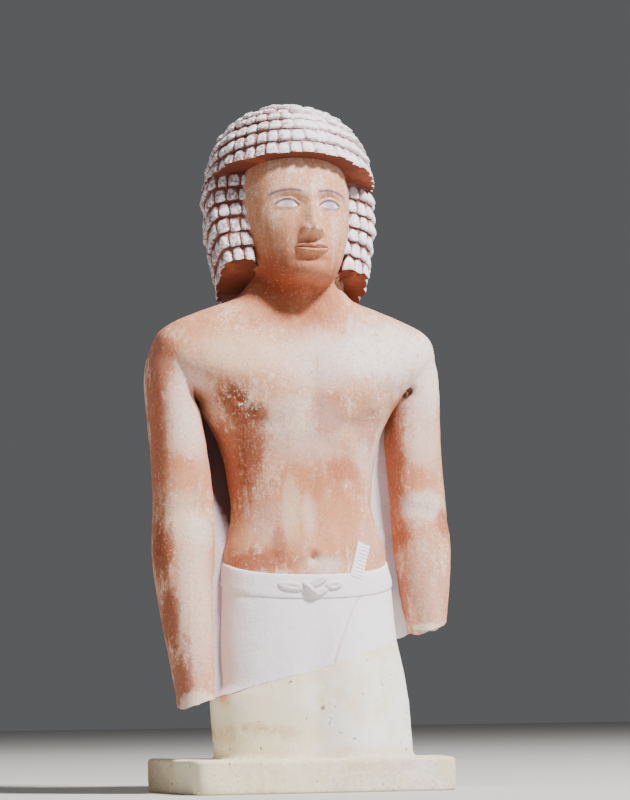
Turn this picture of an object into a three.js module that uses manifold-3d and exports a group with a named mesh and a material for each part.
// Upper part of a standing man carved in painted limestone, broken through the forearms and the kilt,
// and the plaster make-up under the break that it stands on. Millimetres, +Z up, the figure faces -Y,
// and its own left is +X. The origin is the middle of the plinth's underside.
import * as THREE from "three";
import { LoftGeometry } from "three/addons/geometries/LoftGeometry.js";
import { mergeVertices } from "three/addons/utils/BufferGeometryUtils.js";
import Module from "manifold-3d";

// Driving dimensions
const figureHeight = 257; // crown of the wig above the plinth
const plinthWidth = 104;
const plinthDepth = 76;
const plinthHeight = 13;
const plinthBevel = 1.2;
const seamGap = 0.3; // joint between the stone and the plaster
const breakRise = 16.5; // degrees that the break climbs towards the figure's left
const beltHeight = 8.8;
const beltThickness = 0.6;
const lockPitch = 4.6; // width of one lock of the wig
const rowPitch = 5.9; // height of one row of locks
const lockRelief = 1.2; // how far a lock's foot stands out
const pleatPitch = 1.4; // height of one pleat of the tab
const pleatDepth = 0.5;

// The figure's proportions are written in units of which its height has 257.
const unit = figureHeight / 257;
const breakHeight = 34; // where the break crosses the middle of the kilt
const headTilt = 7; // degrees that the head is lifted
const headPivot = { y: 4, z: 188 };
const beltFront = 65.2; // middle of the belt at the belly
const beltSlope = 0.315; // rise of the belt for each unit towards the back
const beltCant = 0.02; // rise of the belt for each unit towards the figure's left

const wasm = await Module();
wasm.setup();

// A smooth curve through [position, value] pairs that never overshoots them.
function curveThrough(keys) {
  const slope = (i) => (keys[i + 1][1] - keys[i][1]) / (keys[i + 1][0] - keys[i][0]);
  const tangents = keys.map((_, i) => {
    if (i === 0) return slope(0);
    if (i === keys.length - 1) return slope(i - 1);
    const before = slope(i - 1);
    const after = slope(i);
    return before * after <= 0 ? 0 : (2 * before * after) / (before + after);
  });
  return (at) => {
    let i = 0;
    while (i < keys.length - 2 && at > keys[i + 1][0]) i++;
    const span = keys[i + 1][0] - keys[i][0];
    const t = THREE.MathUtils.clamp((at - keys[i][0]) / span, 0, 1);
    const rise = t * t * (3 - 2 * t);
    return (
      keys[i][1] * (1 - rise) +
      keys[i + 1][1] * rise +
      span * t * (1 - t) * (tangents[i] * (1 - t) - tangents[i + 1] * t)
    );
  };
}

// A rounded hill of height 1 at the middle that falls off over the given reach.
const hill = (offset, reach) => Math.exp(-((offset / reach) ** 2));

// A point on a rounded oblong section, at an angle from +X, with its own depth in front and behind.
function onSection({ halfWidth, front, back, squareness }, angle) {
  const c = Math.cos(angle);
  const s = Math.sin(angle);
  const power = 2 / squareness;
  return {
    x: halfWidth * Math.sign(c) * Math.abs(c) ** power,
    y: (s < 0 ? front : back) * Math.sign(s) * Math.abs(s) ** power,
  };
}

// A closed loft with one section for each level: place(angle, level) gives its points.
function loft(levels, segments, place, turn = (angle) => angle) {
  const sections = levels.map((level) =>
    Array.from({ length: segments }, (_, k) => place(turn((2 * Math.PI * k) / segments), level)),
  );
  return new LoftGeometry(sections, { capStart: true, capEnd: true });
}

// More of a loft's points in front, where the carving is.
const towardsFront = (share) => (angle) => angle - share * Math.cos(angle);

function solidOf(geometry) {
  const bare = new THREE.BufferGeometry().setAttribute("position", geometry.getAttribute("position"));
  if (geometry.index) bare.setIndex(geometry.index);
  const merged = mergeVertices(bare, 1e-4);
  return new wasm.Manifold(
    new wasm.Mesh({
      numProp: 3,
      vertProperties: new Float32Array(merged.attributes.position.array),
      triVerts: new Uint32Array(merged.index.array),
    }),
  );
}

// A geometry in the figure's units as a solid in millimetres, standing on the plinth.
function figureSolid(geometry, matrix = new THREE.Matrix4()) {
  geometry.applyMatrix4(matrix).scale(unit, unit, unit).translate(0, 0, plinthHeight);
  return solidOf(geometry);
}

function meshOf(name, solid, material) {
  const made = solid.getMesh();
  const geometry = new THREE.BufferGeometry();
  geometry.setAttribute("position", new THREE.BufferAttribute(new Float32Array(made.vertProperties), 3));
  geometry.setIndex(new THREE.BufferAttribute(new Uint32Array(made.triVerts), 1));
  geometry.computeVertexNormals();
  const mesh = new THREE.Mesh(geometry, material);
  mesh.name = name;
  return mesh;
}

const joined = (solids) => solids.reduce((whole, solid) => whole.add(solid));

const box = (width, depth, height, x, y, z) =>
  new THREE.BoxGeometry(width, depth, height).translate(x, y, z);

// Trunk: kilt, belly, chest, shoulders and neck
const trunk = {
  halfWidth: curveThrough([
    [-2, 39.4], [20, 39.3], [24, 38.9], [28, 37.7], [36, 36.9], [46, 35.8], [60, 34.7], [68, 34.1],
    [74, 33], [80, 32.4], [86, 30.5], [92, 28.8], [98, 28.1], [104, 28.7], [110, 29.4], [116, 30.6],
    [122, 32.2], [128, 34.9], [134, 38.3], [138.5, 40.8], [143, 45], [147, 50.5], [153, 55.4], [159, 57], [164, 55.4], [168, 50.5],
    [171, 43.5], [174.5, 33], [178, 23.6], [183, 17.4], [192, 15.4], [206, 15],
  ]),
  front: curveThrough([
    [-2, 26], [20, 25], [46, 23], [62, 21.4], [73, 20.4], [80, 19.8], [90, 18.4], [100, 18.1],
    [110, 18.6], [120, 19.6], [130, 20.6], [138, 20.8], [146, 20.2], [154, 18.6], [160, 16.6],
    [166, 14.4], [172, 12.8], [178, 12.2], [190, 12.2], [206, 13],
  ]),
  back: curveThrough([
    [-2, 20], [20, 21.5], [40, 22.5], [55, 22], [66, 19.5], [76, 16.8], [90, 14.6], [100, 14.8],
    [112, 16.4], [126, 18.8], [140, 20.4], [150, 20.6], [158, 19.6], [165, 17.8], [172, 16.2],
    [180, 15.4], [206, 15],
  ]),
  squareness: curveThrough([
    [-2, 2.35], [60, 2.35], [100, 2.3], [140, 2.5], [150, 2.95], [158, 3.1], [165, 2.8], [173, 2.2],
    [190, 2],
  ]),
  shift: curveThrough([
    [-2, 5.6], [20, 4.3], [24, 4.1], [28, 4.7], [36, 3.9], [46, 3], [60, 2.9], [68, 2.9], [74, 2.4],
    [80, 2.6], [86, 2.5], [92, 2], [98, 1.6], [110, 1.35], [116, 1.4], [122, 1], [128, 0.6], [134, 0.6],
    [138.5, 1.6], [143, 1.2], [148, 0.3], [152, 0], [206, 0],
  ]),
};

// The legs under the kilt: the left thigh is forward and the right one stands back.
const strideReach = curveThrough([[-2, 5], [20, 4], [45, 2], [60, 0.4], [70, 0]]);

// How far the front of the trunk stands out from its plain section.
function frontRelief(x, z) {
  const side = Math.abs(x);
  const breast = 2.3 * hill(side - 19, 15) * hill(z - 143, 13);
  const breastbone = -0.9 * hill(side, 3.2) * (hill(z - 142, 14) + 0.7 * hill(z - 100, 18));
  const belly = 1.2 * hill(side, 15) * hill(z - 80, 11);
  const navel = -2 * hill(side, 2.4) * hill(z - 76, 2.6);
  const nipple = 0.9 * hill(side - 25.7, 2.4) * hill(z - 134, 2.4);
  const thighs = strideReach(z) * (hill(x - 17, 14) - 0.35 * hill(x + 18, 14));
  const lap = -0.35 * strideReach(z) * hill(side, 6);
  return breast + breastbone + belly + navel + nipple + thighs + lap;
}

// How far its back stands out: shoulder blades, the furrow of the spine and the seat under the kilt.
function backRelief(x, z) {
  const side = Math.abs(x);
  const blades = 1.5 * hill(side - 20, 12) * hill(z - 148, 15);
  const spine = -1.8 * hill(side, 4.5) * hill(z - 122, 34);
  const seat = 1.6 * hill(side - 14, 12) * hill(z - 46, 14);
  const cleft = -0.8 * hill(side, 4) * hill(z - 44, 14);
  return blades + spine + seat + cleft;
}

function trunkPoint(angle, z, spread = 0) {
  const section = {
    halfWidth: trunk.halfWidth(z) + spread,
    front: trunk.front(z) + spread,
    back: trunk.back(z) + spread,
    squareness: trunk.squareness(z),
  };
  const point = onSection(section, angle);
  const x = point.x + trunk.shift(z);
  const facing = Math.sqrt(Math.abs(Math.sin(angle)));
  const relief = Math.sin(angle) < 0 ? -frontRelief(x, z) : backRelief(x, z);
  return new THREE.Vector3(x, point.y + relief * facing, z);
}

// How far the front of the trunk is from the figure's middle plane at a place on it.
function frontOf(x, z) {
  const n = trunk.squareness(z);
  const share = Math.abs((x - trunk.shift(z)) / trunk.halfWidth(z));
  return trunk.front(z) * (1 - share ** n) ** (1 / n) + frontRelief(x, z);
}

const trunkSegments = 28;
const trunkTurn = towardsFront(0.2);
const trunkLevels = [
  -2, 23, 29, 46, 60, 70, 73.6, 76, 78.4, 83, 92, 102, 114, 127, 131.6, 134, 136.6, 142, 148, 154,
  159, 163.5, 168, 171.5, 175.5, 181, 206,
];
const trunkGeometry = loft(trunkLevels, trunkSegments, (angle, z) => trunkPoint(angle, z), trunkTurn);

// Arms: hanging at the sides, the forearms a little forward
const arm = {
  x: curveThrough([
    [-4, 43.6], [20, 44.4], [36, 45.8], [52, 47.2], [67, 48], [84, 48.8], [97, 48.6], [120, 48.2],
    [135, 47.8], [150, 47], [158, 46], [163, 45], [167, 44.4],
  ]),
  y: curveThrough([
    [-4, -8.6], [20, -8.4], [52, -6.4], [82, -3.4], [97, -1.8], [120, 0.8], [135, 2.2], [150, 3],
    [167, 3],
  ]),
  halfWidth: curveThrough([
    [-4, 6.6], [20, 7], [36, 8.2], [52, 9.6], [67, 10.5], [84, 10.9], [97, 10.5], [112, 10.3],
    [124, 10.8], [138, 11.8], [150, 12.6], [157, 11.6], [162, 9.2], [165.5, 6], [167, 3],
  ]),
  halfDepth: curveThrough([
    [-4, 8], [20, 8.6], [36, 9.6], [52, 10.6], [67, 11.4], [84, 12], [97, 12], [120, 12.4],
    [138, 13.2], [150, 13.6], [157, 12.4], [162, 10], [165.5, 6.6], [167, 3],
  ]),
  sway: curveThrough([[-4, 0.3], [60, 1], [90, 1.2], [120, 0.6], [150, 0]]),
  // how far each arm's inner side stands back from the plain section
  leftInner: curveThrough([
    [-4, 6], [40, 5.8], [46, 5.3], [51, 4.6], [57, 3.3], [62, 2.6], [68, 1.8], [74, 0.9], [80, 0.2],
    [109, -0.6], [121, -0.4], [127, 0.6], [133, 2.4], [139, 4], [144, 4.5], [150, 3], [156, 0],
  ]),
  rightInner: curveThrough([
    [68, 0], [74, -1.2], [80, -1.7], [98, -2.2], [104, -1.6], [110, -1.2], [116, -0.4], [121, 0.3],
    [127, 1.6], [133, 3], [139, 6], [144, 6.5], [150, 4], [156, 0],
  ]),
  squareness: 2.25,
};
const armSegments = 12;
const armLevels = [
  -4, 22, 34, 46, 60, 72, 84, 96, 110, 124, 138, 147, 154, 160, 164.5, 167,
];

const armGeometry = (side) =>
  loft(armLevels, armSegments, (angle, z) => {
    const halfDepth = arm.halfDepth(z);
    const slimmer = (side > 0 ? arm.leftInner(z) : arm.rightInner(z)) / 2;
    const section = {
      halfWidth: arm.halfWidth(z) - slimmer,
      front: halfDepth,
      back: halfDepth,
      squareness: arm.squareness,
    };
    const { x, y } = onSection(section, angle);
    return new THREE.Vector3(x + side * (arm.x(z) + slimmer) + arm.sway(z), y + arm.y(z), z);
  });

// Stone left standing between each arm and the trunk, as far behind the arm's middle at every height
const filling = { inner: 15, outer: 44, front: 2.8, back: 8.8, foot: -2, top: 152, steps: 4 };

function fillingGeometry(side) {
  const geometry = new THREE.BoxGeometry(
    filling.outer - filling.inner,
    filling.back - filling.front,
    filling.top - filling.foot,
    1,
    1,
    filling.steps,
  ).translate(
    (side * (filling.outer + filling.inner)) / 2,
    (filling.back + filling.front) / 2,
    (filling.top + filling.foot) / 2,
  );
  const place = geometry.attributes.position;
  for (let i = 0; i < place.count; i++) place.setY(i, place.getY(i) + arm.y(place.getZ(i)));
  return geometry;
}

// Head: a plain oval with the features of a calm, evenly proportioned face
const face = { chin: 181, mouth: 191.7, noseBase: 197, eyes: 209, brow: 213, eyeSpacing: 8.2 };
const head = {
  halfWidth: curveThrough([
    [179.4, 8], [181, 11.4], [184, 14.2], [188, 16.6], [194, 19], [200, 20.8], [206, 21.8],
    [214, 22.2], [222, 21.6], [230, 19], [240, 12],
  ]),
  front: curveThrough([
    [179.4, 19], [180.6, 22.4], [182.6, 24.2], [186, 24.8], [192, 24.8], [200, 25], [208, 25.4],
    [216, 26.2], [224, 25.6], [232, 22], [240, 15],
  ]),
  back: 8,
  squareness: 2.3,
};

function faceRelief(x, z) {
  const side = Math.abs(x);
  const along = THREE.MathUtils.clamp((face.brow - z) / (face.brow - face.noseBase), 0, 1);
  const below = Math.max(0, 1 - Math.max(0, face.noseBase - z) / 1.6);
  const bridge = below * hill(Math.max(0, z - face.brow), 4);
  const nose = (1 + 5 * along ** 1.3) * bridge * hill(side, 2 + 1.5 * along);
  const wings = 1.8 * hill(side - 3.4, 1.6) * hill(z - face.noseBase - 2, 2.2);
  const socket = -1.9 * hill(side - face.eyeSpacing, 5) * hill(z - face.eyes - 0.8, 3.2);
  const ball = 1.7 * hill(side - face.eyeSpacing, 3.8) * hill(z - face.eyes, 2.1);
  const upperLip = 1.4 * hill(side, 4.6) * hill(z - face.mouth - 1.4, 1.4);
  const lowerLip = 1.5 * hill(side, 4) * hill(z - face.mouth + 1.5, 1.5);
  const parting = -0.9 * hill(side, 5.4) * hill(z - face.mouth, 0.7);
  const underLip = -0.8 * hill(side, 6) * hill(z - face.mouth + 4, 1.4);
  const chin = 1.1 * hill(side, 5) * hill(z - face.chin - 3.8, 3.2);
  const cheeks = 0.8 * hill(side - 12, 5) * hill(z - 201, 6);
  return nose + wings + socket + ball + upperLip + lowerLip + parting + underLip + chin + cheeks;
}

const headSegments = 24;
const headLevels = [
  179.4, 180.4, 182.4, 185.4, 188.4, 190.2, 191.7, 193.1, 195, 196.4, 197.6, 199.6, 203, 206, 207.6,
  209.2, 211, 213.4, 217, 222, 230, 240,
];
const headGeometry = loft(
  headLevels,
  headSegments,
  (angle, z) => {
    const section = {
      halfWidth: head.halfWidth(z),
      front: head.front(z),
      back: head.back,
      squareness: head.squareness,
    };
    const { x, y } = onSection(section, angle);
    const facing = Math.sqrt(Math.max(0, -Math.sin(angle)));
    return new THREE.Vector3(x, y - faceRelief(x, z) * facing, z);
  },
  towardsFront(0.62),
);

// A turn about a point of the middle plane, that lifts what is in front and cants it to the figure's left
function lifted(degrees, { y, z }, cant = 0) {
  const turn = new THREE.Euler(THREE.MathUtils.degToRad(-degrees), THREE.MathUtils.degToRad(cant), 0);
  return new THREE.Matrix4()
    .makeTranslation(0, y, z)
    .multiply(new THREE.Matrix4().makeRotationFromEuler(turn))
    .multiply(new THREE.Matrix4().makeTranslation(0, -y, -z));
}
const headMatrix = lifted(headTilt, headPivot);

// Wig: rows of locks one under the other. The upper rows make a dome that ends in the fringe. The lower
// ones hang from under it as lappets, flat in front beside the face, and end lower at the nape.
const wig = { middle: 3.5, side: 0.9, depthShare: 1.02, crownRadius: 1.4, rowSlope: 7, cant: 3 };
const wigPivot = { y: 1, z: 218 };
const wigMeridian = new THREE.SplineCurve(
  [
    [0, 255.9], [9, 255], [18.2, 251.4], [26.7, 243.7], [31.7, 232.8], [33.4, 220], [32.9, 208],
    [31.1, 196.5], [29, 186],
  ].map(([radius, z]) => new THREE.Vector2(radius, z)),
);
const wigRows = Math.round((wigMeridian.getLength() * unit) / rowPitch);
const domeRows = Math.round(0.6 * wigRows);
const rowGrowth = 1.116; // rows get a little taller downwards
const rowEdge = (row) => wigMeridian.getPointAt((row / wigRows) ** rowGrowth);
const wigSegments = 88;
const evenCounts = [8, 11, 22, 44];

// The number of locks in a row: the even division of the ring that comes nearest to the pitch.
function locksAround(radius) {
  const wanted = (2 * Math.PI * radius * unit) / lockPitch;
  return evenCounts.reduce((best, n) => (Math.abs(n - wanted) < Math.abs(best - wanted) ? n : best));
}

// Each row flares from its top, tucked under the row above, to its foot, where the locks part.
const flare = { top: -0.35, foot: 1, topGroove: 0.5, footGroove: 1.1 };

function domeGeometry() {
  const relief = lockRelief / unit;
  const rings = [];
  for (let row = domeRows - 1; row >= 0; row--) {
    const top = rowEdge(row);
    const foot = rowEdge(row + 1);
    const outwards = new THREE.Vector2(top.y - foot.y, foot.x - top.x).normalize();
    const locks = locksAround((top.x + foot.x) / 2);
    const footAt = foot.clone().addScaledVector(outwards, flare.foot * relief);
    const topAt = top.clone().addScaledVector(outwards, flare.top * relief);
    rings.push({ at: footAt, locks, groove: flare.footGroove * relief });
    if (row > 1) rings.push({ at: topAt, locks, groove: flare.topGroove * relief });
  }
  const crown = new THREE.Vector2(wig.crownRadius, rowEdge(0).y + flare.footGroove * relief);
  rings.push({ at: crown, locks: 0, groove: 0 });
  return loft(rings, wigSegments, (angle, { at, locks, groove }) => {
    const radius = at.x - groove * (0.5 - 0.5 * Math.cos(locks * angle));
    const y = wig.middle + wig.depthShare * radius * Math.sin(angle);
    return new THREE.Vector3(wig.side + radius * Math.cos(angle), y, at.y);
  });
}

// Lappets: the same ring with its front laid flat, its locks counted evenly along the outline
const lappet = { front: -9, bow: 7, bowPower: 4, tuck: 1.6, cant: 0.02 };
const lappetFoot = { inFront: 2, fall: 7.5, from: -11, to: 18 }; // the foot's line from front to nape

function lappetOutline(radius) {
  const ring = Array.from({ length: 180 }, (_, k) => {
    const angle = (2 * Math.PI * k) / 180;
    const x = radius * Math.cos(angle);
    const y = wig.middle + wig.depthShare * radius * Math.sin(angle);
    return new THREE.Vector3(x, Math.max(y, lappet.front + lappet.bow * (x / radius) ** lappet.bowPower), 0);
  });
  return new THREE.CatmullRomCurve3(ring, true);
}

const lappetLocks = Math.round((lappetOutline(rowEdge(domeRows + 2).x).getLength() * unit) / lockPitch);

function lappetRing(at, proud, groove, lowered) {
  const count = 2 * lappetLocks;
  const points = lappetOutline(at.x).getSpacedPoints(count).slice(0, count);
  return points.map((point, k) => {
    const along = points[(k + 1) % count].clone().sub(points[(k + count - 1) % count]).normalize();
    const out = proud - (k % 2) * groove;
    const x = point.x + along.y * out;
    const y = point.y - along.x * out;
    const backwards = THREE.MathUtils.smoothstep(y, lappetFoot.from, lappetFoot.to);
    const line = lappetFoot.inFront - lappetFoot.fall * backwards;
    return new THREE.Vector3(wig.side + x, y, at.y + lowered * line - lappet.cant * x);
  });
}

function lappetGeometry() {
  const relief = lockRelief / unit;
  const sections = [];
  for (let row = wigRows - 1; row >= domeRows; row--) {
    const share = (edge) => (edge - domeRows) / (wigRows - domeRows);
    const foot = lappetRing(rowEdge(row + 1), flare.foot * relief, flare.footGroove * relief, share(row + 1));
    const top = lappetRing(rowEdge(row), flare.top * relief, flare.topGroove * relief, share(row));
    sections.push(foot, top);
  }
  sections.push(sections.at(-1).map((point) => point.clone().setZ(point.z + lappet.tuck)));
  return new LoftGeometry(sections, { capStart: true, capEnd: true });
}

function wigSolid() {
  const rowMatrix = headMatrix.clone().multiply(lifted(wig.rowSlope, wigPivot, wig.cant));
  return figureSolid(domeGeometry(), rowMatrix).add(figureSolid(lappetGeometry(), rowMatrix.clone()));
}

// Belt: the trunk's own section a little larger, between two parallel sloping planes
const beltReach = 28; // the trunk's levels that the sloping band can meet
const beltLevels = trunkLevels.filter((z) => Math.abs(z - beltFront - 5) < beltReach);
function beltSolid() {
  const around = loft(
    beltLevels,
    trunkSegments,
    (angle, z) => trunkPoint(angle, z, beltThickness / unit),
    trunkTurn,
  );
  const tilt = Math.atan(beltSlope);
  const slab = box(4 * beltFront, 4 * beltFront, beltHeight / unit, 0, 0, 0)
    .rotateX(tilt)
    .rotateY(-Math.atan(beltCant))
    .translate(0, 0, beltFront + beltSlope * trunk.front(beltFront));
  return figureSolid(around).intersect(figureSolid(slab));
}

// Knot: rounded loops of the belt on the belly, each with its own length and turn
const knotMiddle = { x: -2, z: beltFront - 0.4 };
const bellyRadius = 58; // how gently the belly turns away behind the knot
const knotLoops = [
  { x: -7.2, z: 0.2, length: 11, height: 3.4, thickness: 1.9, turn: -6 },
  { x: 0, z: -1, length: 8.4, height: 3.6, thickness: 2.9, turn: -40 },
  { x: 3.4, z: 1.9, length: 8.6, height: 2.8, thickness: 2.1, turn: 24 },
  { x: 4, z: -1.8, length: 7, height: 2.8, thickness: 2, turn: 20 },
  { x: 9.4, z: 0.6, length: 7.6, height: 3.2, thickness: 1.9, turn: 8 },
];

function loopGeometry({ x, z, length, height, thickness, turn }) {
  const atX = knotMiddle.x + x;
  const atZ = knotMiddle.z + z;
  return new THREE.SphereGeometry(1, 8, 6)
    .scale(length / 2, thickness, height / 2)
    .rotateY(THREE.MathUtils.degToRad(-turn))
    .rotateZ(Math.atan2(atX, bellyRadius))
    .translate(atX, -frontOf(atX, atZ), atZ);
}

// The end of the kilt's cloth, drawn up behind the belt and pleated across
const tab = { foot: { x: 17.4, z: 68.5 }, head: { x: 21.6, z: 82 }, width: 6, thickness: 1.1, depth: 3 };
function tabGeometry() {
  const rise = new THREE.Vector2(tab.head.x - tab.foot.x, tab.head.z - tab.foot.z);
  const length = rise.length();
  const pleats = Math.round((length * unit) / pleatPitch);
  const levels = Array.from({ length: 2 * pleats + 1 }, (_, k) => ({
    share: k / (2 * pleats),
    proud: tab.thickness - (k % 2) * (pleatDepth / unit),
  }));
  const corners = [
    { across: 0.5, outwards: false },
    { across: -0.5, outwards: false },
    { across: -0.5, outwards: true },
    { across: 0.5, outwards: true },
  ];
  const sections = levels.map(({ share, proud }) =>
    corners.map(({ across, outwards }) => {
      const x = tab.foot.x + rise.x * share + (across * tab.width * rise.y) / length;
      const z = tab.foot.z + rise.y * share - (across * tab.width * rise.x) / length;
      return new THREE.Vector3(x, -frontOf(x, z) + (outwards ? -proud : tab.depth), z);
    }),
  );
  return new LoftGeometry(sections, { capStart: true, capEnd: true });
}

// Everything below the break, lowered by a drop in millimetres
function belowBreak(drop) {
  const reach = 3 * figureHeight;
  return solidOf(
    box(reach, reach, reach, 0, 0, -reach / 2)
      .rotateY(THREE.MathUtils.degToRad(-breakRise))
      .translate(0, 0, plinthHeight + breakHeight * unit - drop),
  );
}

function plinthSolid() {
  const w = plinthWidth / 2 - plinthBevel;
  const d = plinthDepth / 2 - plinthBevel;
  const outline = new THREE.Shape([
    new THREE.Vector2(-w, -d),
    new THREE.Vector2(w, -d),
    new THREE.Vector2(w, d),
    new THREE.Vector2(-w, d),
  ]);
  const geometry = new THREE.ExtrudeGeometry(outline, {
    depth: plinthHeight - 2 * plinthBevel,
    bevelSize: plinthBevel,
    bevelThickness: plinthBevel,
    bevelSegments: 2,
  });
  return solidOf(geometry.translate(0, 0, plinthBevel));
}

const sides = [-1, 1];
const trunkSolid = figureSolid(trunkGeometry);

const torsoSolid = joined([
  trunkSolid,
  ...sides.map((side) => figureSolid(armGeometry(side))),
  ...sides.map((side) => figureSolid(fillingGeometry(side))),
  figureSolid(headGeometry, headMatrix),
  wigSolid(),
  beltSolid(),
  ...knotLoops.map((loop) => figureSolid(loopGeometry(loop))),
  figureSolid(tabGeometry()),
]).subtract(belowBreak(0));

const seamDrop = seamGap / Math.cos(THREE.MathUtils.degToRad(breakRise));
const baseSolid = trunkSolid.intersect(belowBreak(seamDrop)).add(plinthSolid());

const paintedLimestone = new THREE.MeshStandardMaterial({ color: 0xc99a7c, roughness: 0.85, metalness: 0 });
const castPlaster = new THREE.MeshStandardMaterial({ color: 0xe3d8bd, roughness: 0.9, metalness: 0 });

const statue = new THREE.Group();
statue.add(meshOf("torso", torsoSolid, paintedLimestone));
statue.add(meshOf("plaster_base", baseSolid, castPlaster));

export default statue;
